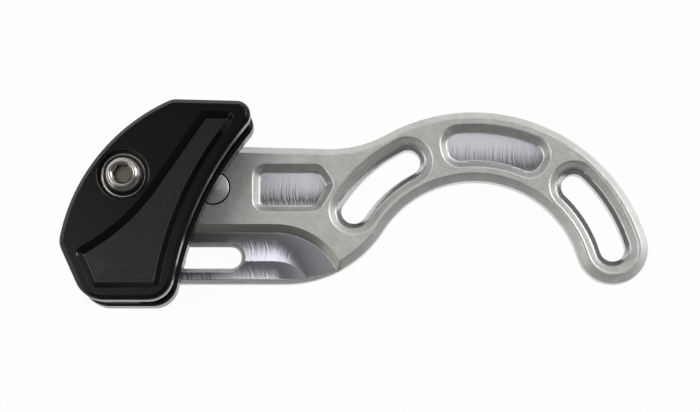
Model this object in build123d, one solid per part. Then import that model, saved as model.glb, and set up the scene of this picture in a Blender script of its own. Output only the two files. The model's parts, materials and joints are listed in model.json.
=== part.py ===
from build123d import *
from math import atan2, cos, degrees, hypot, radians, sin, sqrt
import os

# Bicycle chain guide, millimetres. The origin is the bottom bracket axis on the back plate's rear face.
# +X points away from the chain cage, +Y up along the frame side and +Z outboard, towards the chainring.

# Back plate: hook and arm
plate_t = 5.0
hook_in_r = 26.2
hook_out_r = 43.4
hook_tip_angle = 16.0
blend_r = 28.0
arm_bottom = 1.0
arm_top = 33.27
arm_top_slope = 1.5
arm_end_wall = 2.2
arm_top_corner_r = 14.0
arm_bottom_corner_r = 3.0
edge_chamfer = 1.8
rear_edge_break = 0.3

# Back plate: kidney slots for the frame's M6 mounting bolts, each with a recessed ledge round it
mount_slot_w = 6.2
mount_ledge_w = 1.35
mount_slot_span = 29.6
mount_slot_apart = 101.6

# Back plate: shallow bare pockets, with the same sloped walls as the ledges
pocket_depth = 2.0
pocket_slope = 1.6
corner_share = 0.45
hook_pocket_margin = 3.3
hook_pocket_tip_gap = 13.4
hook_pocket_arm_gap = 14.2
hook_pocket_corner_r = 4.7
arm_pocket_left = -53.9
arm_pocket_top = 30.1
arm_pocket_bottom = 18.4
arm_pocket_top_right = -37.2
arm_pocket_tip_x = -33.77
arm_pocket_tip_y = 25.3
arm_pocket_bottom_right = -37.8
arm_pocket_corner_r = 2.9

# Back plate: blade that the cage slides on, with its adjusting slot
blade_drop = 1.8
step_foot_y = 13.5
step_end_x = -48.5
step_r = 17.0
step_fillet_r = 0.4
blade_edge_chamfer = 1.0
slot_y = 7.45
slot_w = 5.2
slot_chamfer = 1.0
cage_travel = 16.0

# Nut bar behind the adjusting slot
nut_from_chain = 4.3
nut_pitch = 7.0
nut_w = 10.0
nut_side_gap = 0.1
nut_recess_depth = 1.6
nut_face_gap = 0.05
nut_back_gap = 0.1
nut_stem_gap = 0.2
screw_d = 4.0
screw_head_d = 8.0
screw_tip_gap = 0.4
screw_hole_gap = 0.15
screw_hex = 2.5
screw_hex_depth = 1.6

# Pressed pin in the arm
pin_d = 8.0
pin_x = -63.65
pin_seam_w = 0.3

# Cage: heights of its three layers
slide_gap = 0.05
inner_cheek_t = 5.45
channel_w = 7.5
outer_cheek_t = 5.0

# Cage: outline shared by both cheeks, with its places counted from the chain towards the hook
chain_outer_r = 79.5
cage_back_from_chain = -13.2
cage_back_y = 24.1
cage_back_angle = 150.0
cage_back_r = 44.4
cage_front_from_chain = 13.75
cage_front_y = 18.3
cage_front_angle = 156.2
cage_front_r = 80.0
cage_top = 40.65
cage_bottom = -5.3
cage_nose_from_chain = -12.5
cage_nose_angle = 65.0
cage_top_back_r = 4.0
cage_top_front_r = 3.3
cage_bottom_front_r = 5.8
cage_bottom_nose_r = 7.0
cage_nose_r = 5.0
cage_face_chamfer = 1.0
channel_chamfer = 0.8

# Cage: sliding key under the inner cheek
key_gap = 0.1
key_margin = 1.5

# Cage: contoured pocket in the outer cheek
scoop_wall = 2.7
scoop_back_from_chain = 2.6
scoop_back_y = 21.9
scoop_back_angle = 56.1
scoop_back_r = 46.9
scoop_corner_r = 1.8
scoop_depth = 1.6
scoop_slope = 1.6

# Cage: chain bumper between the cheeks
bumper_inset = 0.6
bumper_corner_r = 1.0

# Cage: domed socket-head bolt and dowels
bolt_from_chain = -3.9
bolt_y = 24.3
bolt_d = 6.0
bolt_head_d = 10.5
bolt_head_h = 3.3
bolt_rim_h = 0.5
bolt_lip_w = 0.3
bolt_dome_r = 5.1
bolt_hex = 4.0
bolt_hex_depth = 2.2
bolt_mouth_d = 5.4
bolt_tip_gap = 0.05
bolt_hole_gap = 0.2
bolt_bore_gap = 0.75
bolt_bore_depth = 1.9
bolt_bore_chamfer = 0.3
dowel_d = 3.0
dowel_spread = 7.0
dowel_hold = 2.3
dowel_end_gap = 0.1

# Shared small values
thread_gap = 0.05
over = 1.0

# Levels above the rear face
blade_z = plate_t - blade_drop
inner_cheek_z = plate_t + slide_gap
channel_z = inner_cheek_z + inner_cheek_t
outer_cheek_z = channel_z + channel_w
cage_z = outer_cheek_z + outer_cheek_t

# Places that follow from the sizes above
hook_mid_r = (hook_in_r + hook_out_r) / 2
hook_half_w = (hook_out_r - hook_in_r) / 2
tip_slot_angle = hook_tip_angle + mount_slot_span / 2
arm_slot_angle = tip_slot_angle + mount_slot_apart
chain_x = -chain_outer_r
bolt_x = chain_x + bolt_from_chain
nut_inner_x = chain_x + nut_from_chain
nut_outer_x = nut_inner_x - nut_pitch
slot_inner_x = nut_inner_x + cage_travel
arm_end_x = nut_outer_x - nut_w / 2 - nut_side_gap - arm_end_wall
screw_places = [(nut_inner_x, slot_y), (nut_outer_x, slot_y)]
bolt_circle_r = hypot(bolt_x, bolt_y)
bolt_angle = degrees(atan2(bolt_y, bolt_x))
sheet = 4 * (hook_out_r + cage_back_r)


def polar(radius, angle):
    """A point at an angle, in degrees, round the bottom bracket axis."""
    return (radius * cos(radians(angle)), radius * sin(radians(angle)))


def half_plane(x, y, angle, inset=0.0):
    """A large sheet to the left of a line through a point, held back from it by the inset."""
    return Pos(x, y) * Rot(0, 0, angle) * Pos(0, sheet / 2 + inset) * Rectangle(sheet, sheet)


def round_edge(x, y, angle, radius, inset=0.0):
    """A disc whose edge, before the inset, passes through a point at an angle from its centre."""
    turn = radians(angle)
    return Pos(x - radius * cos(turn), y - radius * sin(turn)) * Circle(radius - inset)


def prism(profile, low, high):
    """A profile raised from one level to another."""
    return extrude(Pos(0, 0, low) * profile, high - low)


def sloped(profile, low, height, slope):
    """A profile at the low level whose walls lean outwards by slope over the height."""
    return extrude(Pos(0, 0, low) * profile, height, taper=-degrees(atan2(slope, height)))


def disc(place, diameter, low, high):
    """A round bar at a place."""
    return prism(Pos(*place) * Circle(diameter / 2), low, high)


def back_plate_outline():
    """Arm and hook joined by two equal blends, one convex below and one concave above."""
    slope = radians(arm_top_slope)
    normal = Vector(sin(slope), cos(slope))
    along = Vector(-cos(slope), sin(slope))
    reach = sqrt((hook_out_r + blend_r) ** 2 - (arm_top + blend_r) ** 2)
    upper = normal * (arm_top + blend_r) + along * reach
    upper_angle = degrees(atan2(upper.Y, upper.X))
    upper_touch = upper - normal * blend_r
    arm_top_end = (arm_top - arm_end_x * sin(slope)) / cos(slope)

    lower_y = arm_bottom + blend_r
    lower_x = -sqrt((hook_in_r + blend_r) ** 2 - lower_y ** 2)
    lower_angle = degrees(atan2(lower_y, lower_x))

    with BuildSketch() as outline:
        with BuildLine():
            Line((arm_end_x, arm_bottom), (lower_x, arm_bottom))
            CenterArc((lower_x, lower_y), blend_r, -90, lower_angle - 90)
            CenterArc((0, 0), hook_in_r, lower_angle, hook_tip_angle - lower_angle)
            CenterArc(polar(hook_mid_r, hook_tip_angle), hook_half_w, hook_tip_angle + 180, 180)
            CenterArc((0, 0), hook_out_r, hook_tip_angle, upper_angle - hook_tip_angle)
            CenterArc(upper, blend_r, upper_angle + 180, 90 - arm_top_slope - upper_angle)
            Polyline(upper_touch, (arm_end_x, arm_top_end), (arm_end_x, arm_bottom))
        make_face()
        ends = outline.vertices().group_by(Axis.X)[0].sort_by(Axis.Y)
        fillet(ends[-1], arm_top_corner_r)
        fillet(outline.vertices().group_by(Axis.Y)[0].sort_by(Axis.X)[0], arm_bottom_corner_r)
    return outline.sketch


def mount_slot(angle, width):
    """One kidney slot, centred at an angle on the hook's middle line."""
    line = CenterArc((0, 0), hook_mid_r, angle - mount_slot_span / 2, mount_slot_span)
    return SlotArc(line, width)


def hook_pocket_floor():
    """Floor of the pocket between the kidney slots."""
    inner = hook_in_r + hook_pocket_margin
    outer = hook_out_r - hook_pocket_margin
    start = tip_slot_angle + mount_slot_span / 2 + hook_pocket_tip_gap
    end = arm_slot_angle - mount_slot_span / 2 - hook_pocket_arm_gap
    with BuildSketch() as pocket:
        with BuildLine():
            CenterArc((0, 0), inner, start, end - start)
            CenterArc((0, 0), outer, start, end - start)
            Line(polar(inner, start), polar(outer, start))
            Line(polar(inner, end), polar(outer, end))
        make_face()
        fillet(pocket.vertices(), min(hook_pocket_corner_r, corner_share * (outer - inner)))
        offset(amount=-pocket_slope, mode=Mode.REPLACE)
    return pocket.sketch


def arm_pocket_floor():
    """Floor of the five-sided pocket on the arm."""
    with BuildSketch() as pocket:
        with BuildLine():
            Polyline(
                (arm_pocket_left, arm_pocket_bottom),
                (arm_pocket_bottom_right, arm_pocket_bottom),
                (arm_pocket_tip_x, arm_pocket_tip_y),
                (arm_pocket_top_right, arm_pocket_top),
                (arm_pocket_left, arm_pocket_top),
                close=True,
            )
        make_face()
        fillet(pocket.vertices(), arm_pocket_corner_r)
        offset(amount=-pocket_slope, mode=Mode.REPLACE)
    return pocket.sketch


def blade_floor():
    """Plan of the lowered blade, at its floor: it runs off the arm's end and its lower edge."""
    run = sheet / 2
    strip = Pos(step_end_x - run / 2, step_foot_y - run / 2) * Rectangle(run, run)
    return strip + Pos(step_end_x, step_foot_y - step_r) * Circle(step_r)


def adjusting_slot(width):
    """The slot that the nut bar runs in, over the whole travel of the cage."""
    length = nut_pitch + cage_travel
    return Pos((slot_inner_x + nut_outer_x) / 2, slot_y) * SlotCenterToCenter(length, width)


def make_back_plate():
    outline = back_plate_outline()
    plate = prism(outline, 0, plate_t)
    front = plate.faces().sort_by(Axis.Z)[-1]
    plate = chamfer(front.outer_wire().edges(), edge_chamfer)
    rear = plate.faces().sort_by(Axis.Z)[0]
    plate = chamfer(rear.outer_wire().edges(), rear_edge_break)

    blade = prism(outline, 0, blade_z)
    blade_top = blade.faces().sort_by(Axis.Z)[-1]
    edge_waste = blade - chamfer(blade_top.outer_wire().edges(), blade_edge_chamfer)
    cut = sloped(blade_floor(), blade_z, blade_drop + over, blade_drop + over)
    cut = fillet(cut.faces().sort_by(Axis.Z)[0].edges(), step_fillet_r)
    plate -= cut
    plate -= edge_waste & prism(blade_floor(), 0, plate_t)

    floors = [hook_pocket_floor(), arm_pocket_floor()]
    for angle in (tip_slot_angle, arm_slot_angle):
        plate -= prism(mount_slot(angle, mount_slot_w), -over, plate_t + over)
        floors.append(mount_slot(angle, mount_slot_w + 2 * mount_ledge_w))
    for floor in floors:
        plate -= sloped(floor, plate_t - pocket_depth, pocket_depth, pocket_slope)

    slot = adjusting_slot(slot_w)
    plate -= prism(slot, -over, plate_t)
    plate -= sloped(slot, blade_z - slot_chamfer, slot_chamfer, slot_chamfer)
    plate -= prism(adjusting_slot(nut_w + 2 * nut_side_gap), -over, nut_recess_depth)

    plate -= disc((pin_x, bolt_y), pin_d, -over, plate_t + over)
    plate -= Pos(pin_x, bolt_y, plate_t - pin_seam_w / 2) * Cone(
        pin_d / 2, pin_d / 2 + pin_seam_w, pin_seam_w)
    return plate


def make_stop_pin():
    return disc((pin_x, bolt_y), pin_d, 0, plate_t)


def make_slot_nut():
    flange_top = nut_recess_depth - nut_face_gap
    flange_plan = Pos((nut_inner_x + nut_outer_x) / 2, slot_y) * SlotCenterToCenter(nut_pitch, nut_w)
    stem_w = slot_w - 2 * nut_side_gap
    stem_plan = Pos((nut_inner_x + nut_outer_x) / 2, slot_y) * SlotCenterToCenter(nut_pitch, stem_w)
    nut = prism(flange_plan, nut_back_gap, flange_top)
    nut += prism(stem_plan, nut_back_gap, blade_z - nut_stem_gap)
    for place in screw_places:
        nut -= disc(place, screw_d + 2 * thread_gap, -over, plate_t)
    return nut


def make_clamp_screws():
    sink_h = (screw_head_d - screw_d) / 2
    tip = nut_back_gap + screw_tip_gap
    screws = []
    for place in screw_places:
        shank = disc(place, screw_d, tip, channel_z)
        head = Pos(*place, channel_z - sink_h / 2) * Cone(screw_d / 2, screw_head_d / 2, sink_h)
        hexagon = Pos(*place) * RegularPolygon(screw_hex / 2, 6, major_radius=False)
        screws.append(shank + head - prism(hexagon, channel_z - screw_hex_depth, channel_z + over))
    return Compound(children=screws)


def cage_blank(inset=0.0):
    """A back arc and a hollow front arc between a straight top, bottom and nose, with sharp corners."""
    back = round_edge(chain_x + cage_back_from_chain, cage_back_y, cage_back_angle, cage_back_r, inset)
    slope = radians(arm_top_slope)
    top = half_plane(cage_top * sin(slope), cage_top * cos(slope), 180 - arm_top_slope, inset)
    bottom = half_plane(0, cage_bottom, 0, inset)
    nose = half_plane(chain_x + cage_nose_from_chain, cage_bottom, -cage_nose_angle, inset)
    front = round_edge(chain_x + cage_front_from_chain, cage_front_y, cage_front_angle, cage_front_r, -inset)
    return (back & top & bottom & nose) - front


def cage_outline():
    """The cheeks' outline with its five corners rounded."""
    outline = cage_blank()
    outline = fillet(outline.vertices().sort_by(Axis.X)[-1], cage_top_front_r)
    outline = fillet(outline.vertices().sort_by(Axis.X)[0], cage_nose_r)
    outline = fillet(outline.vertices().sort_by(Axis.Y)[-1], cage_top_back_r)
    foot = outline.vertices().group_by(Axis.Y)[0].sort_by(Axis.X)
    outline = fillet(foot[-1], cage_bottom_front_r)
    foot = outline.vertices().group_by(Axis.Y)[0].sort_by(Axis.X)
    return fillet(foot[0], cage_bottom_nose_r)


def dowel_places():
    return [polar(bolt_circle_r, bolt_angle + side * dowel_spread) for side in (-1, 1)]


def make_inner_cheek():
    outline = cage_outline()
    cheek = prism(outline, inner_cheek_z, channel_z)
    cheek = chamfer(cheek.faces().sort_by(Axis.Z)[-1].edges(), channel_chamfer)

    key_low = arm_bottom + blade_edge_chamfer + key_gap
    key_high = step_foot_y - key_gap
    band = half_plane(0, key_low, 0) & half_plane(0, key_high, 180) & half_plane(arm_end_x, 0, -90)
    key_plan = offset(outline, -key_margin) & band
    cheek += prism(key_plan, blade_z + slide_gap, inner_cheek_z)

    sink_h = (screw_head_d - screw_d) / 2
    for place in screw_places:
        cheek -= disc(place, screw_d + 2 * screw_hole_gap, -over, cage_z)
        cheek -= Pos(*place, channel_z - sink_h / 2) * Cone(
            screw_d / 2 + screw_hole_gap, screw_head_d / 2 + screw_hole_gap, sink_h)
    cheek -= disc((bolt_x, bolt_y), bolt_d + 2 * thread_gap, -over, cage_z)
    for place in dowel_places():
        cheek -= disc(place, dowel_d, channel_z - dowel_hold - dowel_end_gap, cage_z)
    return cheek


def make_chain_bumper():
    plan = offset(cage_outline(), -bumper_inset) - Circle(chain_outer_r)
    plan = offset(offset(plan, -bumper_corner_r), bumper_corner_r)
    bumper = prism(plan, channel_z, outer_cheek_z)
    bumper -= disc((bolt_x, bolt_y), bolt_d + 2 * bolt_hole_gap, -over, cage_z)
    for place in dowel_places():
        bumper -= disc(place, dowel_d, -over, cage_z)
    return bumper


def scoop_outline():
    """The pocket's rim: the cage's outline held back, behind a line that runs into an arc."""
    touch = (chain_x + scoop_back_from_chain, scoop_back_y)
    line = Pos(*touch) * Rot(0, 0, scoop_back_angle) * Pos(sheet / 2, sheet / 2) * Rectangle(sheet, sheet)
    arc = round_edge(*touch, scoop_back_angle - 90, scoop_back_r)
    scoop = cage_blank(scoop_wall) - line - arc
    corners = scoop.vertices().sort_by_distance((*touch, 0))[1:]
    return fillet(corners, scoop_corner_r)


def make_outer_cheek():
    outline = cage_outline()
    cheek = prism(outline, outer_cheek_z, cage_z)
    cheek = chamfer(cheek.faces().sort_by(Axis.Z)[-1].edges(), cage_face_chamfer)
    cheek = chamfer(cheek.faces().sort_by(Axis.Z)[0].edges(), channel_chamfer)

    floor = offset(scoop_outline(), -scoop_slope)
    cheek -= sloped(floor, cage_z - scoop_depth, scoop_depth, scoop_slope)

    place = (bolt_x, bolt_y)
    cheek -= disc(place, bolt_d + 2 * bolt_hole_gap, -over, cage_z + over)
    bore_r = bolt_head_d / 2 + bolt_bore_gap
    cheek -= disc(place, 2 * bore_r, cage_z - bolt_bore_depth, cage_z + over)
    cheek -= Pos(*place, cage_z - bolt_bore_chamfer / 2) * Cone(
        bore_r, bore_r + bolt_bore_chamfer, bolt_bore_chamfer)
    for place in dowel_places():
        cheek -= disc(place, dowel_d, -over, outer_cheek_z + dowel_hold + dowel_end_gap)
    return cheek


def make_cage_bolt():
    place = (bolt_x, bolt_y)
    seat = cage_z - bolt_bore_depth
    lip = seat + bolt_rim_h
    crown = seat + bolt_head_h
    dome_d = bolt_head_d - 2 * bolt_lip_w
    dome_z = lip - sqrt(bolt_dome_r ** 2 - (dome_d / 2) ** 2)
    dome = disc(place, dome_d, lip, crown) & Pos(*place, dome_z) * Sphere(bolt_dome_r)
    bolt = dome + disc(place, bolt_head_d, seat, lip)
    bolt += disc(place, bolt_d, inner_cheek_z + bolt_tip_gap, seat)

    mouth_h = (bolt_mouth_d - bolt_hex) / 2
    hexagon = Pos(*place) * RegularPolygon(bolt_hex / 2, 6, major_radius=False)
    bolt -= prism(hexagon, crown - bolt_hex_depth, crown + over)
    bolt -= Pos(*place, crown - mouth_h / 2) * Cone(bolt_hex / 2, bolt_mouth_d / 2, mouth_h)
    return bolt


def make_cage_dowels():
    low = channel_z - dowel_hold
    high = outer_cheek_z + dowel_hold
    return Compound(children=[disc(place, dowel_d, low, high) for place in dowel_places()])


pieces = {
    "back_plate": make_back_plate,
    "stop_pin": make_stop_pin,
    "slot_nut": make_slot_nut,
    "clamp_screws": make_clamp_screws,
    "inner_cheek": make_inner_cheek,
    "chain_bumper": make_chain_bumper,
    "outer_cheek": make_outer_cheek,
    "cage_bolt": make_cage_bolt,
    "cage_dowels": make_cage_dowels,
}

os.makedirs("parts", exist_ok=True)
for name, make in pieces.items():
    export_step(make(), f"parts/{name}.step")
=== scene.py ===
# %% [markdown]
# # Bicycle chain guide
# A chain guide keeps the chain on its ring. A milled aluminium back plate hooks round the bottom
# bracket and bolts to the frame. A black cage slides along the plate's arm, and the chain runs
# between the cage's cheeks. The shapes could be modelled here, but their solids are exact already
# and move in a simulation, so this script loads them in metres and never moves or resizes them.
# It adds the finish that a cutter, a drum of stones or a dye bath left on each surface.

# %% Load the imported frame
import json
from math import atan2, cos, radians, sin, tan

import bmesh
import bpy
from mathutils import Matrix, Vector

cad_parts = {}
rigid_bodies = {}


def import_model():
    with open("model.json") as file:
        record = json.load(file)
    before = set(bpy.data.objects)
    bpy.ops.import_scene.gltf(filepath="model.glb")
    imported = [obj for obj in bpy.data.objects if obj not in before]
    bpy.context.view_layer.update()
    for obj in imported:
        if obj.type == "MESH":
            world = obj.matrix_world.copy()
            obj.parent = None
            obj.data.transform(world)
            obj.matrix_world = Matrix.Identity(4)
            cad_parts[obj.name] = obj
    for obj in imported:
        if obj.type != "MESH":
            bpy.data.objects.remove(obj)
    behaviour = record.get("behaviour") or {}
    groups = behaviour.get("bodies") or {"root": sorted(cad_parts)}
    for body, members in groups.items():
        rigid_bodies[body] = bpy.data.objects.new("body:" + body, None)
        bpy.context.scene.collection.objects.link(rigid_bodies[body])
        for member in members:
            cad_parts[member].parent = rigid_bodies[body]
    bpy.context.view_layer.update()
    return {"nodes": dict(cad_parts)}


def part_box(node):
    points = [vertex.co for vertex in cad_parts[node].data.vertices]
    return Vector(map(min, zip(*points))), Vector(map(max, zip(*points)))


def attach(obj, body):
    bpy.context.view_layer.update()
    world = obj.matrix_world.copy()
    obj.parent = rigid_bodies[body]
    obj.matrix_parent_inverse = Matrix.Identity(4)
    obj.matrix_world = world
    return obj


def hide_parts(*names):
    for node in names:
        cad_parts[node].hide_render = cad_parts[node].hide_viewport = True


MM = 0.001
for leftover in list(bpy.data.objects):
    bpy.data.objects.remove(leftover)
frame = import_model()

# %% [markdown]
# ## Small helpers
# Every material is a tree of nodes. It could be put together by hand in the shader editor, but in
# a script it can be read and changed line by line. One helper turns a written sRGB colour into
# the linear values that a shader works with. Two feed and add nodes, and two start and close a
# material, whose patterns are measured in millimetres on the piece itself.

# %% Colour and node helpers
def linear(hex_colour):
    """Linear RGBA by the sRGB curve, from a written colour such as #D0D0CC."""
    channels = [int(hex_colour[i:i + 2], 16) / 255 for i in (1, 3, 5)]
    return [c / 12.92 if c <= 0.04045 else ((c + 0.055) / 1.055) ** 2.4 for c in channels] + [1.0]


def feed(tree, node, inputs):
    """Set inputs, each to a plain value, a socket or a node, which is its first output in use."""
    for key, value in inputs.items():
        if isinstance(value, bpy.types.Node):
            value = next(socket for socket in value.outputs if socket.enabled)
        if isinstance(value, bpy.types.NodeSocket):
            tree.links.new(value, node.inputs[key])
        else:
            node.inputs[key].default_value = value


def add(tree, kind, inputs, **settings):
    """Add one shader node with its settings and inputs."""
    node = tree.nodes.new("ShaderNode" + kind)
    for key, value in settings.items():
        setattr(node, key, value)
    feed(tree, node, inputs)
    return node


def new_finish(name):
    """A new material, its node tree, its shader, and the place on the piece in millimetres."""
    material = bpy.data.materials.new(name)
    material.use_nodes = True
    tree = material.node_tree
    place = add(tree, "TexCoord", {}).outputs["Object"]
    place_mm = add(tree, "VectorMath", {0: place, "Scale": 1 / MM}, operation="SCALE")
    return material, tree, tree.nodes["Principled BSDF"], place_mm


def made(material):
    """Print what a material took, and pass it on."""
    print(material.name, "nodes:", len(material.node_tree.nodes))
    return material


print("Mid grey #808080 in linear light:", round(linear("#808080")[0], 3))

# %% [markdown]
# ## Tumbled aluminium
# After its outline is milled, the back plate rolls in a drum of small stones. That dulls the
# cutter's marks to an even satin with a fine, cloudy grain. A picture of such metal could be
# wrapped round the plate, but it would repeat, so the grain is a noise. It drives the colour, the
# roughness and a faint bump. Its marks are coarser than real ones, so that they show.

# %% Tumbled aluminium
STONE_MARK = 0.4  # mm
ALONG_THE_ARM = (0.4, 1.0, 1.0)  # the marks are longer in X
CLOUD = 3.0  # mm
NOISE_SPAN = {"From Min": 0.3, "From Max": 0.7}  # most values of a noise lie in this span


def tumbled_aluminium():
    material, tree, shader, place = new_finish("tumbled_aluminium")
    lay = add(tree, "VectorMath", {0: place, 1: ALONG_THE_ARM}, operation="MULTIPLY")
    marks = add(tree, "TexNoise", {"Vector": lay, "Scale": 1 / STONE_MARK, "Detail": 3.0})
    clouds = add(tree, "TexNoise", {"Vector": place, "Scale": 1 / CLOUD, "Detail": 2.0})
    shade = add(tree, "Math", {0: marks, 1: clouds}, operation="MULTIPLY")
    colour = add(tree, "ValToRGB", {"Fac": shade})
    colour.color_ramp.elements[0].color = linear("#CDCECA")
    colour.color_ramp.elements[1].color = linear("#EBECE8")
    colour.color_ramp.elements[1].position = 0.5  # two noises multiplied seldom pass a half
    rough = add(tree, "MapRange", {"Value": marks, **NOISE_SPAN, "To Min": 0.48, "To Max": 0.54})
    bump = add(tree, "Bump", {"Height": marks, "Strength": 0.3, "Distance": 0.1 * MM})
    feed(tree, shader, {"Base Color": colour, "Roughness": rough, "Normal": bump, "Metallic": 1.0})
    return made(material)


tumbled = tumbled_aluminium()

# %% [markdown]
# ## Where the walls are
# A cutter that clears a floor runs in passes that keep their distance from the walls. So the
# material of such a floor needs, at every place, the distance to the nearest wall and the direction
# away from it. These could be stored in the mesh, but a flat floor has vertices only at its rim.
# Nodes work them out for every place. Each kind of wall gives a spoke, which is a vector to the
# place from the line or the centre that the wall belongs to.

# %% Spokes
def spoke_from_line(tree, place, point, facing):
    """From a straight wall through a point, whose face looks along an angle."""
    reach = add(tree, "VectorMath", {0: place, 1: (*point, 0)}, operation="SUBTRACT")
    look = (cos(facing), sin(facing), 0)
    return add(tree, "VectorMath", {0: reach, 1: look}, operation="PROJECT")


def spoke_from_centre(tree, place, centre, ray=(0, 0, 0)):
    """From the centre of a round wall, which may run on straight along a ray."""
    spoke = add(tree, "VectorMath", {0: place, 1: (*centre, 0)}, operation="SUBTRACT")
    run = add(tree, "VectorMath", {0: spoke, 1: ray}, operation="DOT_PRODUCT")
    run = add(tree, "Math", {0: run, 1: 0.0}, operation="MAXIMUM")
    run = add(tree, "VectorMath", {0: ray, "Scale": run}, operation="SCALE")
    return add(tree, "VectorMath", {0: spoke, 1: run}, operation="SUBTRACT")


def spoke_from_arc(tree, place, radius, start, end):
    """From the middle line of a curved slot, which is an arc round the bottom bracket axis."""
    parts = add(tree, "SeparateXYZ", {0: place})
    x, y = parts.outputs["X"], parts.outputs["Y"]
    angle = add(tree, "Math", {0: y, 1: x}, operation="ARCTAN2")
    angle = add(tree, "Clamp", {"Value": angle, "Min": start, "Max": end})
    turn_x = add(tree, "Math", {0: angle}, operation="COSINE")
    turn_y = add(tree, "Math", {0: angle}, operation="SINE")
    middle = add(tree, "CombineXYZ", {"X": turn_x, "Y": turn_y})
    middle = add(tree, "VectorMath", {0: middle, "Scale": radius}, operation="SCALE")
    return add(tree, "VectorMath", {0: place, 1: middle}, operation="SUBTRACT")


# %% Nearest wall
FAR = 1000.0  # mm, beyond every wall
INSIDE, OUTSIDE = 1, -1  # whether a floor lies inside a wall's radius or outside it


def nearest_wall(tree, walls):
    """Distance to the nearest wall and the direction away from it. A wall is its spoke, its
    radius and the side that the floor is on."""
    depth, away = FAR, (0, 0, 0)
    for spoke, radius, side in walls:
        length = add(tree, "VectorMath", {0: spoke}, operation="LENGTH")
        here = add(tree, "Math", {0: length, 1: -side, 2: side * radius}, operation="MULTIPLY_ADD")
        nearer = add(tree, "Math", {0: here, 1: depth}, operation="LESS_THAN")
        inward = add(tree, "VectorMath", {0: spoke}, operation="NORMALIZE")
        inward = add(tree, "VectorMath", {0: inward, "Scale": -side}, operation="SCALE")
        # Inputs 4 and 5 of a Mix node are its A and B for vectors.
        away = add(tree, "Mix", {0: nearer, 4: away, 5: inward}, data_type="VECTOR")
        depth = add(tree, "Math", {0: here, 1: depth}, operation="MINIMUM")
    return depth, away


# %% [markdown]
# ## Milled floors
# The blade, the pockets and the bolt ledges were cut after tumbling, so they are bright. An end
# mill leaves fine arcs, which run across its path in the middle of a pass and along it at the
# sides. Scratches spread a reflection at right angles to themselves, so a flat milled floor shows
# bright and dark bands. Modelled scratches would take millions of faces. An anisotropic shader
# spreads a reflection along the tangent that it is given, so only that direction is worked out.
# The lines are a few tenths of a millimetre apart, coarser than real ones, so that they show.

# %% Milled floor
STRAY = 0.8  # how far the lines differ from a true arc


def milled_floor(name, colour, find_walls, pass_width, middle, arc_r, line_pitch,
                 pivot=(0, 0), pivot_r=0.0):
    """Bright metal cut in passes from the walls inwards. In millimetres: the width of a pass, how
    far into it the arcs' middle lies, the arcs' radius and the lines' spacing. A round path turns
    on the pivot, and its wall has the pivot's radius."""
    material, tree, shader, place = new_finish(name)
    flat = add(tree, "VectorMath", {0: place, 1: (1, 1, 0)}, operation="MULTIPLY")
    depth, away = nearest_wall(tree, find_walls(tree, flat))
    along = add(tree, "VectorMath", {0: away, 1: (0, 0, 1)}, operation="CROSS_PRODUCT")

    # How an arc leans at this place: its part across the path and its part along it.
    in_pass = add(tree, "Math", {0: depth, 1: pass_width}, operation="FLOORED_MODULO")
    aside = add(tree, "Math", {0: in_pass, 1: 1 / arc_r, 2: -middle / arc_r},
                operation="MULTIPLY_ADD")
    ahead = add(tree, "Math", {0: aside, 1: aside}, operation="MULTIPLY")
    ahead = add(tree, "Math", {0: 1.0, 1: ahead}, operation="SUBTRACT", use_clamp=True)
    ahead = add(tree, "Math", {0: ahead}, operation="SQRT")

    # Which arc it is: how far the cutter had come along the wall.
    parts = add(tree, "SeparateXYZ", {0: away})
    x, y = parts.outputs["X"], parts.outputs["Y"]
    turn = add(tree, "Math", {0: y, 1: x}, operation="ARCTAN2")
    from_pivot = add(tree, "VectorMath", {0: flat, 1: (*pivot, 0)}, operation="SUBTRACT")
    travel = add(tree, "VectorMath", {0: from_pivot, 1: along}, operation="DOT_PRODUCT")
    travel = add(tree, "Math", {0: turn, 1: -pivot_r, 2: travel}, operation="MULTIPLY_ADD")
    travel = add(tree, "Math", {0: ahead, 1: arc_r, 2: travel}, operation="MULTIPLY_ADD")
    lines = add(tree, "TexNoise", {"W": travel, "Scale": 1 / line_pitch, "Detail": 2.0},
                noise_dimensions="1D")

    # No two arcs are quite alike, so each one's spread strays a little.
    rough = add(tree, "MapRange", {"Value": lines, **NOISE_SPAN, "To Min": 0.33, "To Max": 0.4})
    stray = add(tree, "Math", {0: lines, 1: 0.5}, operation="SUBTRACT")
    stray = add(tree, "Math", {0: stray, 1: STRAY, 2: aside}, operation="MULTIPLY_ADD")
    spread_along = add(tree, "VectorMath", {0: along, "Scale": ahead}, operation="SCALE")
    spread_aside = add(tree, "VectorMath", {0: away, "Scale": stray}, operation="SCALE")
    spread = add(tree, "VectorMath", {0: spread_along, 1: spread_aside}, operation="ADD")
    feed(tree, shader, {"Tangent": spread, "Roughness": rough, "Metallic": 1.0,
                        "Base Color": linear(colour), "Anisotropic": 1.0})
    return made(material)


# %% [markdown]
# ## The step's wall and the shade in the pin's seam
# The side of the cutter left the step's slope smooth, so it mirrors the dark room and looks deeper
# in tone than the faces beside it. The groove round the pin lies in shadow, and a near-black
# material paints that shade on its faces. A ring could be modelled for that, but the groove has
# faces of its own already, so they only need another material.

# %% Side-milled wall and painted shade in the seam
RIPPLE = 0.5  # mm
SEAM_SHADE_GRAIN = 0.3  # mm


def side_milled():
    material, tree, shader, place = new_finish("side_milled_aluminium")
    ripple = add(tree, "TexNoise", {"Vector": place, "Scale": 1 / RIPPLE, "Detail": 2.0})
    rough = add(tree, "MapRange", {"Value": ripple, **NOISE_SPAN, "To Min": 0.275, "To Max": 0.29})
    feed(tree, shader, {"Base Color": linear("#D8D8CE"), "Roughness": rough, "Metallic": 1.0})
    return made(material)


# Painted shade: a near-black material stands in for the shadow in the groove round the pin.
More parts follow.
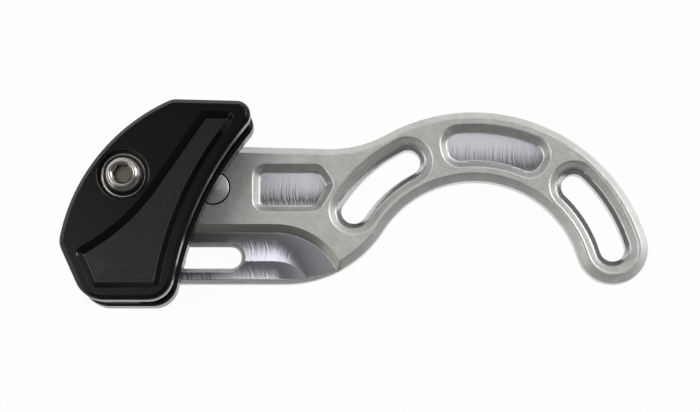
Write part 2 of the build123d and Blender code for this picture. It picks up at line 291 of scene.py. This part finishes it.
def painted_seam_shade_material():
    material, tree, shader, place = new_finish("painted_seam_shade")
    shade_grain = add(tree, "TexNoise", {"Vector": place, "Scale": 1 / SEAM_SHADE_GRAIN, "Detail": 2.0})
    rough = add(tree, "MapRange", {"Value": shade_grain, "To Min": 0.45, "To Max": 0.65})
    feed(tree, shader, {"Base Color": linear("#0C0C0B"), "Roughness": rough,
                        "Specular IOR Level": 0.2})
    return made(material)


step_wall = side_milled()
seam = painted_seam_shade_material()

# %% [markdown]
# ## Black anodised cheeks
# Anodising grows a hard, clear oxide on the aluminium and fills it with black dye. The eye sees a
# satin black that turns glossy at a flat angle. It could be a black metal, but light meets the
# oxide first, so the shader is a dark non-metal. The noise under it is stretched along the height:
# it is an even tooth on the faces and the upright lines of the cutter on the side walls. The tooth
# is coarser than a real one, to show. The scoop's floor keeps the lines of its own passes instead.

# %% Black anodised aluminium
TOOTH = 0.35  # mm
TOOTH_DEPTH = 0.003  # mm
WALL_LINE = 12.0  # mm, longer than the cheeks are thick
SCOOP_PASS = 0.62  # mm
SCOOP_RIDGE = 0.05  # mm


def black_anodised():
    material, tree, shader, place = new_finish("black_anodised_aluminium")
    stretch = (1 / TOOTH, 1 / TOOTH, 1 / WALL_LINE)
    stretched = add(tree, "VectorMath", {0: place, 1: stretch}, operation="MULTIPLY")
    tooth = add(tree, "TexNoise", {"Vector": stretched, "Scale": 1.0, "Detail": 2.0})
    rough = add(tree, "MapRange", {"Value": tooth, **NOISE_SPAN, "To Min": 0.2, "To Max": 0.26})
    bump = add(tree, "Bump", {"Height": tooth, "Distance": TOOTH_DEPTH * MM})
    feed(tree, shader, {"Base Color": linear("#070707"), "Roughness": rough, "Normal": bump})
    return made(material)


def black_anodised_floor(find_walls):
    """The same oxide where the cutter's passes left ridges, which follow the walls."""
    material, tree, shader, place = new_finish("black_anodised_scoop_floor")
    flat = add(tree, "VectorMath", {0: place, 1: (1, 1, 0)}, operation="MULTIPLY")
    depth = nearest_wall(tree, find_walls(tree, flat))[0]
    ridge = add(tree, "Math", {0: depth, 1: SCOOP_PASS / 2}, operation="PINGPONG")
    shade = add(tree, "Math", {0: ridge, 1: 2 / SCOOP_PASS}, operation="MULTIPLY")
    # The colour is lighter on each ridge and darker between them.
    ridge_tone = add(tree, "ValToRGB", {"Fac": shade})
    ridge_tone.color_ramp.elements[0].color = linear("#030303")
    ridge_tone.color_ramp.elements[1].color = linear("#272727")
    bump = add(tree, "Bump", {"Height": ridge, "Distance": SCOOP_RIDGE * MM})
    feed(tree, shader, {"Base Color": ridge_tone, "Roughness": 0.32, "Normal": bump})
    return made(material)


anodised = black_anodised()

# %% [markdown]
# ## Turned steel
# The bolt's dome, the pin and the small steel parts come off a lathe, which leaves fine rings that
# spread a reflection outwards from the axis. A wave texture would draw the rings all alike, so they
# come from a noise over the distance from the axis. They are coarser than real ones, to show. The
# bolt's socket isn't turned: a punch forged it, which left its walls rougher and darker.

# %% Turned and forged steel
RING = 0.25  # mm
RING_CONTRAST = 0.05  # of roughness, to either side
FORGE_GRAIN = 0.4  # mm


def turned_steel(name, axis, colour, roughness, spread, crown=0.0):
    """Bright steel with rings round an upright axis. A crown makes the face fall off outwards."""
    material, tree, shader, place = new_finish(name)
    flat = add(tree, "VectorMath", {0: place, 1: (1, 1, 0)}, operation="MULTIPLY")
    outward = spoke_from_centre(tree, flat, axis)
    reach = add(tree, "VectorMath", {0: outward}, operation="LENGTH")
    rings = add(tree, "TexNoise", {"W": reach, "Scale": 1 / RING, "Detail": 2.0},
                noise_dimensions="1D")
    rough = add(tree, "MapRange", {"Value": rings, "To Min": roughness - RING_CONTRAST,
                                   "To Max": roughness + RING_CONTRAST})
    fall = add(tree, "Math", {0: reach, 1: 2.0}, operation="POWER")
    bump = add(tree, "Bump", {"Height": fall, "Distance": crown * MM}, invert=True)
    feed(tree, shader, {"Base Color": linear(colour), "Roughness": rough, "Tangent": outward,
                        "Metallic": 1.0, "Normal": bump, "Anisotropic": spread})
    return made(material)


def forged_socket():
    material, tree, shader, place = new_finish("forged_stainless")
    grain = add(tree, "TexNoise", {"Vector": place, "Scale": 1 / FORGE_GRAIN, "Detail": 2.0})
    rough = add(tree, "MapRange", {"Value": grain, "To Min": 0.35, "To Max": 0.5})
    feed(tree, shader, {"Base Color": linear("#7C7466"), "Roughness": rough, "Metallic": 1.0})
    return made(material)


forged = forged_socket()

# %% [markdown]
# ## Moulded polymer
# The bumper between the cheeks is a dark, hard rubber. Its mould gave it a fine grain and no gloss.
# A flat colour would do from afar, but the cage's open ends show the bumper from close by, so a
# noise gives it that grain in roughness and bump.

# %% Moulded polymer
MOULD_GRAIN = 0.5  # mm


def moulded_polymer():
    material, tree, shader, place = new_finish("black_moulded_polymer")
    grain = add(tree, "TexNoise", {"Vector": place, "Scale": 1 / MOULD_GRAIN, "Detail": 3.0})
    rough = add(tree, "MapRange", {"Value": grain, "To Min": 0.55, "To Max": 0.7})
    bump = add(tree, "Bump", {"Height": grain, "Strength": 0.3, "Distance": 0.1 * MM})
    feed(tree, shader, {"Base Color": linear("#141414"), "Roughness": rough, "Normal": bump})
    return made(material)


polymer = moulded_polymer()

# %% [markdown]
# ## Finished copies of the milled pieces
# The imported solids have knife-sharp edges. A real edge is always a little broken, and that catches
# the light. A real pocket has a small radius at its foot, from the corner of the cutter. A Bevel
# modifier would give all of a piece's edges one width. Here a test picks the edges of each kind,
# and they are bevelled on a welded copy of the solid. Weighted normals keep the wide faces flat.

# %% Finished copy
WELD = 0.001 * MM
FLAT_ANGLE = radians(0.3)
SHARP_ANGLE = radians(25)


def finished_copy(node, body, materials, breaks, choose=None):
    """A piece that stands for a node. Each break is a width in mm, its segments and a test for its
    edges. Choose gives the number of a face's material from its place in mm and its normal."""
    form = bmesh.new()
    form.from_mesh(frame["nodes"][node].data)
    bmesh.ops.remove_doubles(form, verts=form.verts, dist=WELD)
    bmesh.ops.dissolve_limit(form, angle_limit=FLAT_ANGLE, verts=form.verts, edges=form.edges)
    for face in form.faces:
        face.smooth = True
        face.material_index = choose(face.calc_center_median() / MM, face.normal) if choose else 0
    sharp = [edge for edge in form.edges if edge.calc_face_angle(0.0) > SHARP_ANGLE]
    for width, segments, belongs in breaks:
        sharp = [edge for edge in sharp if edge.is_valid]
        chosen = [edge for edge in sharp if belongs(edge)]
        sharp = [edge for edge in sharp if edge not in chosen]
        bmesh.ops.bevel(form, geom=chosen, offset=width * MM, offset_type="OFFSET",
                        affect="EDGES", segments=segments, profile=0.5, material=-1)
    mesh = bpy.data.meshes.new(f"{node}_finished")
    form.to_mesh(mesh)
    form.free()
    for material in materials:
        mesh.materials.append(material)
    piece = bpy.data.objects.new(f"{node}_finished", mesh)
    bpy.context.scene.collection.objects.link(piece)
    piece.modifiers.new("flat faces stay flat", "WEIGHTED_NORMAL").keep_sharp = False
    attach(piece, body)
    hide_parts(node)
    print(node, "faces:", len(mesh.polygons))


# %% [markdown]
# ## Back plate
# The back plate is one piece of aluminium, and most of it is tumbled, also its pockets' walls. Only
# its level floors are bright: the blade, the two pockets and the ledges round the bolt slots. Each
# floor could be a mesh of its own, but then seams would show at its walls. So each face of one mesh
# takes its finish from where it is and which way it faces. The rims of the pockets and slots are
# rounded a little more than the other edges, which gives them a bright lip.

# %% Back plate floors
# Lengths and places are in millimetres from the bottom bracket axis.
hook_mid_r = 34.8
mount_slot_half_span = radians(14.8)
tip_slot_angle = radians(30.8)
arm_slot_angle = radians(132.4)
ledge_half_w = 4.45
hook_floor_low = (0.0, 29.8)
arm_floor_low = (-45.0, 21.5)
step_centre = (-48.5, -3.5)
step_r = 17.0


def blade_walls(tree, place):
    spoke = spoke_from_centre(tree, place, step_centre, ray=(-1, 0, 0))
    return [(spoke, step_r, INSIDE)]


def pocket_walls(low_point):
    """A pocket's passes keep to its low wall, which faces along Y."""
    def find_walls(tree, place):
        return [(spoke_from_line(tree, place, low_point, radians(90)), 0.0, OUTSIDE)]
    return find_walls


def ledge_walls(slot_angle):
    """A ledge's wall runs round a curved slot, whose middle is at an angle."""
    def find_walls(tree, place):
        start, end = slot_angle - mount_slot_half_span, slot_angle + mount_slot_half_span
        return [(spoke_from_arc(tree, place, hook_mid_r, start, end), ledge_half_w, INSIDE)]
    return find_walls


# %% Back plate finishes
pocket_lines = 0.3  # mm
ledge_cut = {"colour": "#BEBEC0", "pass_width": 10.0, "middle": 5.0, "arc_r": 5.5,
             "line_pitch": 0.4, "pivot_r": hook_mid_r}
back_plate_finishes = [
    tumbled,
    milled_floor("milled_blade", "#EAEAF3", blade_walls, pass_width=7.0, middle=5.1, arc_r=7.5,
                 line_pitch=0.4, pivot=step_centre, pivot_r=step_r),
    milled_floor("milled_hook_pocket", "#B2B2B8", pocket_walls(hook_floor_low), pass_width=12.0,
                 middle=3.0, arc_r=12.0, line_pitch=pocket_lines),
    milled_floor("milled_arm_pocket", "#BABAC0", pocket_walls(arm_floor_low), pass_width=9.0,
                 middle=2.2, arc_r=10.5, line_pitch=pocket_lines),
    milled_floor("milled_tip_ledge", find_walls=ledge_walls(tip_slot_angle), **ledge_cut),
    milled_floor("milled_arm_ledge", find_walls=ledge_walls(arm_slot_angle), **ledge_cut),
    step_wall,
    seam,
]
(TUMBLED, BLADE, HOOK_POCKET, ARM_POCKET,
 TIP_LEDGE, ARM_LEDGE, STEP_WALL, SEAM) = range(len(back_plate_finishes))

# %% Back plate regions
LEVEL = 0.05  # mm, for two heights that count as one
FACES_UP = 0.99  # a normal's part along Z on a level face
SLANT = 0.3  # the least part of a normal along the way that its face leans
plate_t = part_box("back_plate")[1].z / MM
blade_z = 3.2
pocket_z = 3.0
hook_floor_start = radians(67.7)
hook_floor_end = radians(94.7)
between_floors = 0.2  # radians, from a pocket's end towards the next ledge
step_reach = 2.0  # mm, past the top of the step's slope
pin_low, pin_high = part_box("stop_pin")
pin_axis = ((pin_low + pin_high) / 2 / MM).xy
pin_r = (pin_high.x - pin_low.x) / 2 / MM
seam_w = 0.3
print("Pin's radius, mm:", round(pin_r, 2))


def back_plate_finish(place, normal):
    """Which finish a face has, from its place in millimetres and the way it faces."""
    if normal.z > FACES_UP and abs(place.z - blade_z) < LEVEL:
        return BLADE
    if normal.z > FACES_UP and abs(place.z - pocket_z) < LEVEL:
        if abs(place.xy.length - hook_mid_r) > ledge_half_w:
            return ARM_POCKET
        angle = place.xy.angle_signed(Vector((1, 0)))
        if angle < hook_floor_start - between_floors:
            return TIP_LEDGE
        return ARM_LEDGE if angle > hook_floor_end + between_floors else HOOK_POCKET
    # The hole's chamfer round the pin takes the near-black painted shade of the groove.
    if 0 < (place.xy - pin_axis).length - pin_r < seam_w and normal.z > SLANT:
        return SEAM
    spoke = place.xy - Vector(step_centre)
    spoke.x = max(spoke.x, 0.0)
    faces_blade = normal.xy.dot(spoke.normalized()) < -SLANT
    if faces_blade and blade_z < place.z < plate_t and spoke.length - step_r < step_reach:
        return STEP_WALL
    return TUMBLED


# %% Back plate edges
pocket_wall_run = 1.6
pocket_wall_z = sin(atan2(pocket_wall_run, plate_t - pocket_z))
SAME_LEAN = 0.03  # for two normals that count as one
pocket_foot_r = 0.4
pocket_lip = 0.3
tumbled_break = 0.12


def lies_at(edge, z):
    """Whether both ends of an edge are at a height in millimetres."""
    return all(abs(vert.co.z / MM - z) < LEVEL for vert in edge.verts)


def is_pocket_foot(edge):
    return not edge.is_convex and lies_at(edge, pocket_z)


def is_pocket_rim(edge):
    """An edge of the top face whose other face leans as the pockets' walls do."""
    lean = min(face.normal.z for face in edge.link_faces)
    return lies_at(edge, plate_t) and abs(lean - pocket_wall_z) < SAME_LEAN


def every_edge(edge):
    return True


finished_copy("back_plate", "plate", back_plate_finishes,
              [(pocket_foot_r, 3, is_pocket_foot), (pocket_lip, 3, is_pocket_rim),
               (tumbled_break, 2, every_edge)], back_plate_finish)

# %% [markdown]
# ## Cage
# Two black cheeks hold the chain between them, with the bumper behind it. The outer cheek has a
# shallow scoop that keeps the lines of the cutter's passes, one inside the other like contours on a
# map. They could be drawn one by one, but they follow the scoop's five walls, so the helper for the
# nearest wall gives them all. The corner of that cutter also left a small radius along the scoop's
# foot, which catches a thin line of light.

# %% Scoop walls
scoop_touch = Vector((-76.9, 21.9))
scoop_back_angle = radians(56.1)
scoop_back_r = 46.9
scoop_wall = 2.7
scoop_slope = 1.6
floor_inset = scoop_wall + scoop_slope
cage_top = 40.65
cage_top_slope = radians(1.5)
cage_bottom = -5.3
cage_nose_x = -92.0
cage_nose_angle = radians(65.0)
cage_front_centre = (7.45, -13.98)
cage_front_r = 80.0


def scoop_walls(tree, place):
    side = Vector((sin(scoop_back_angle), -cos(scoop_back_angle)))
    ray = (cos(scoop_back_angle), sin(scoop_back_angle), 0)
    back_centre = scoop_touch - side * scoop_back_r
    back = spoke_from_centre(tree, place, back_centre, ray)
    front = spoke_from_centre(tree, place, cage_front_centre)
    top_point = (0.0, (cage_top - floor_inset) / cos(cage_top_slope))
    top = spoke_from_line(tree, place, top_point, radians(270) - cage_top_slope)
    bottom = spoke_from_line(tree, place, (0.0, cage_bottom + floor_inset), radians(90))
    nose_side = Vector((sin(cage_nose_angle), cos(cage_nose_angle)))
    nose_point = Vector((cage_nose_x, cage_bottom)) + nose_side * floor_inset
    nose = spoke_from_line(tree, place, nose_point, radians(90) - cage_nose_angle)
    return [(back, scoop_back_r + scoop_slope, OUTSIDE),
            (front, cage_front_r + floor_inset, OUTSIDE),
            (top, 0.0, OUTSIDE), (bottom, 0.0, OUTSIDE), (nose, 0.0, OUTSIDE)]


scoop_floor = black_anodised_floor(scoop_walls)

# %% Cheeks and bumper
scoop_z = 21.4
scoop_foot_r = 0.15
cheek_break = 0.05
bumper_break = 0.2


def outer_cheek_finish(place, normal):
    """The scoop's floor has the second finish, the rest the first."""
    return int(normal.z > FACES_UP and abs(place.z - scoop_z) < LEVEL)


def is_scoop_foot(edge):
    return not edge.is_convex and lies_at(edge, scoop_z)


finished_copy("inner_cheek", "cage", [anodised],
              [(cheek_break, 2, every_edge)])
finished_copy("outer_cheek", "cage", [anodised, scoop_floor],
              [(scoop_foot_r, 3, is_scoop_foot), (cheek_break, 2, every_edge)],
              outer_cheek_finish)
finished_copy("chain_bumper", "cage", [polymer], [(bumper_break, 2, every_edge)])

# %% [markdown]
# ## Small steel parts
# The cage hangs on one button-head bolt, with a turned dome and a punched hexagon socket. The pin
# in the arm is turned too. Its end is very slightly crowned, which shades it from side to side, and
# a crown that slight is made as a bump. The nut, its screws and the dowels are hidden in use. They
# could have broken edges as well, but nobody would see them, so their solids stay as they are and
# only take a plain finish.

# %% Bolt and pin
bolt_low, bolt_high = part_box("cage_bolt")
bolt_axis = ((bolt_low + bolt_high) / 2 / MM).xy
bolt_top = bolt_high.z / MM
socket_corner_r = 2.32
socket_depth = 2.2
dome_depth = 1.0  # more than the dome drops within the socket's radius
bolt_break = 0.08
pin_break = 0.2


def is_upright(normal):
    return abs(normal.z) < 0.5


def bolt_finish(place, normal):
    """The socket's walls and floor are forged, the rest is turned."""
    within = (place.xy - bolt_axis).length < socket_corner_r
    in_socket = within and place.z > bolt_top - socket_depth - LEVEL
    return int(in_socket and (is_upright(normal) or place.z < bolt_top - dome_depth))


def pin_finish(place, normal):
    """The pin's side takes the near-black painted shade of the groove round it."""
    return int(is_upright(normal))


bolt_steel = turned_steel("turned_stainless", bolt_axis, "#DAD6CF", roughness=0.22, spread=0.5)
pin_steel = turned_steel("turned_pin", pin_axis, "#F2F2F2", roughness=0.46, spread=0.3, crown=0.02)
finished_copy("cage_bolt", "cage", [bolt_steel, forged],
              [(bolt_break, 2, every_edge)], bolt_finish)
finished_copy("stop_pin", "plate", [pin_steel, seam],
              [(pin_break, 2, every_edge)], pin_finish)

# %% Hidden steel parts
plain_steel = turned_steel("turned_bright_steel", bolt_axis, "#C8C8C8", roughness=0.3, spread=0.5)
for node in ("slot_nut", "clamp_screws", "cage_dowels"):
    frame["nodes"][node].data.materials.clear()
    frame["nodes"][node].data.materials.append(plain_steel)
    print(node, "finish:", plain_steel.name)

# %% [markdown]
# ## Floor
# Product photos are often taken on white paper under bright light. More light would whiten the
# paper here too, but it would wash out the metal. So the paper shows its own white to the camera
# and to reflections, and metal mirrors the same background that the eye sees. For all other rays it
# is a plain matt sheet, and a small share of that sheet stays in view to carry the soft shadow.

# %% Floor
FLOOR_HALF = 2.0  # m
floor_mesh = bpy.data.meshes.new("floor")
form = bmesh.new()
bmesh.ops.create_grid(form, x_segments=1, y_segments=1, size=FLOOR_HALF)
form.to_mesh(floor_mesh)
form.free()
floor = bpy.data.objects.new("floor", floor_mesh)
bpy.context.scene.collection.objects.link(floor)
print("Floor's width, m:", 2 * FLOOR_HALF)

# %% White paper
FLOOR_WHITE = 0.97  # the rest is the sheet's share
paper = bpy.data.materials.new("white_paper")
paper.use_nodes = True
tree = paper.node_tree
tree.nodes.remove(tree.nodes["Principled BSDF"])
path = add(tree, "LightPath", {})
seen = path.outputs["Is Camera Ray"]
for kind in ("Is Glossy Ray", "Is Transmission Ray"):
    seen = add(tree, "Math", {0: seen, 1: path.outputs[kind]}, operation="MAXIMUM")
share = add(tree, "Math", {0: seen, 1: FLOOR_WHITE}, operation="MULTIPLY")
matt = add(tree, "BsdfDiffuse", {"Color": linear("#F4F4F4")})
white = add(tree, "Emission", {"Strength": 1.0})
mix = add(tree, "MixShader", {0: share, 1: matt, 2: white})
feed(tree, tree.nodes["Material Output"], {"Surface": mix})
floor_mesh.materials.append(made(paper))

# %% [markdown]
# ## Light
# Metal shows its surroundings more than its own colour, so the lamps are placed for what they draw.
# The key on the right brightens faces and right-hand chamfers. A strip on the left and a broad
# panel at the back light the walls that face them. Two weak lamps in front lift the cheeks. One
# bright room could replace them all, but it would flatten every form. So the room is almost dark,
# and that gives the milled floors and the step their deep bands.

# %% Room
ROOM = 0.075
world = bpy.data.worlds.new("studio")
bpy.context.scene.world = world
world.use_nodes = True
tree = world.node_tree
path = add(tree, "LightPath", {})
strength = add(tree, "MapRange",
               {"Value": path.outputs["Is Camera Ray"], "To Min": ROOM, "To Max": 1.0})
feed(tree, tree.nodes["Background"], {"Color": (1, 1, 1, 1), "Strength": strength})
print("Room's strength on the object:", ROOM)

# %% Lamps
LAMP_DISTANCE = 0.6  # m
photo_centre = Vector((-30.2, 19.76, 5.0)) * MM  # what the middle of the photo shows


def softbox(name, azimuth, elevation, width, height, power):
    """A rectangular lamp on a dome round the middle of the photo, in degrees, metres and watts."""
    lamp = bpy.data.lights.new(name, "AREA")
    lamp.shape = "RECTANGLE"
    lamp.size = width
    lamp.size_y = height
    lamp.energy = power
    turn, rise = radians(azimuth), radians(elevation)
    away = Vector((cos(turn) * cos(rise), sin(turn) * cos(rise), sin(rise)))
    facing = away.to_track_quat("Z", "Y").to_matrix().to_4x4()
    stand = bpy.data.objects.new(name, lamp)
    stand.matrix_world = Matrix.Translation(photo_centre + away * LAMP_DISTANCE) @ facing
    bpy.context.scene.collection.objects.link(stand)
    print(name, "W:", power)


softbox("right key", azimuth=22, elevation=30, width=0.34, height=0.27, power=1.75)
softbox("left strip", azimuth=179, elevation=46, width=0.27, height=0.5, power=1.35)
softbox("back panel", azimuth=85, elevation=38, width=1.0, height=0.6, power=1.35)
softbox("front top", azimuth=208, elevation=72, width=0.27, height=0.27, power=0.10)
softbox("low front", azimuth=210, elevation=15, width=0.27, height=0.27, power=0.08)

# %% [markdown]
# ## Camera
# The photo looks almost straight down, with a tilt of about ten degrees. A camera could be moved by
# eye until its picture fits. Here the hook's round edges gave the tilt and the distance, since a
# circle seen askew turns into an ellipse of a known shape.

# %% Camera
CAMERA_DISTANCE = 0.5  # m
FOCAL_PIXELS = 2060.0
PHOTO_WIDTH = 700  # pixels
TILT = radians(9.6)  # towards the lower edge of the photo
LEAN = radians(0.6)  # towards its right edge
camera = bpy.data.cameras.new("photo camera")
camera.sensor_fit = "HORIZONTAL"
camera.lens = camera.sensor_width * FOCAL_PIXELS / PHOTO_WIDTH
camera.clip_start = 0.01
towards_camera = Vector((tan(LEAN), -tan(TILT), 1)).normalized()
right = (Vector((1, 0, 0)) - towards_camera * towards_camera.x).normalized()
up = towards_camera.cross(right)
tripod = bpy.data.objects.new("photo camera", camera)
turn = Matrix((right, up, towards_camera)).transposed().to_4x4()
tripod.matrix_world = Matrix.Translation(photo_centre + towards_camera * CAMERA_DISTANCE) @ turn
bpy.context.scene.collection.objects.link(tripod)
bpy.context.scene.camera = tripod
bpy.context.scene.view_settings.view_transform = "Standard"
print("Lens, mm:", round(camera.lens, 1))
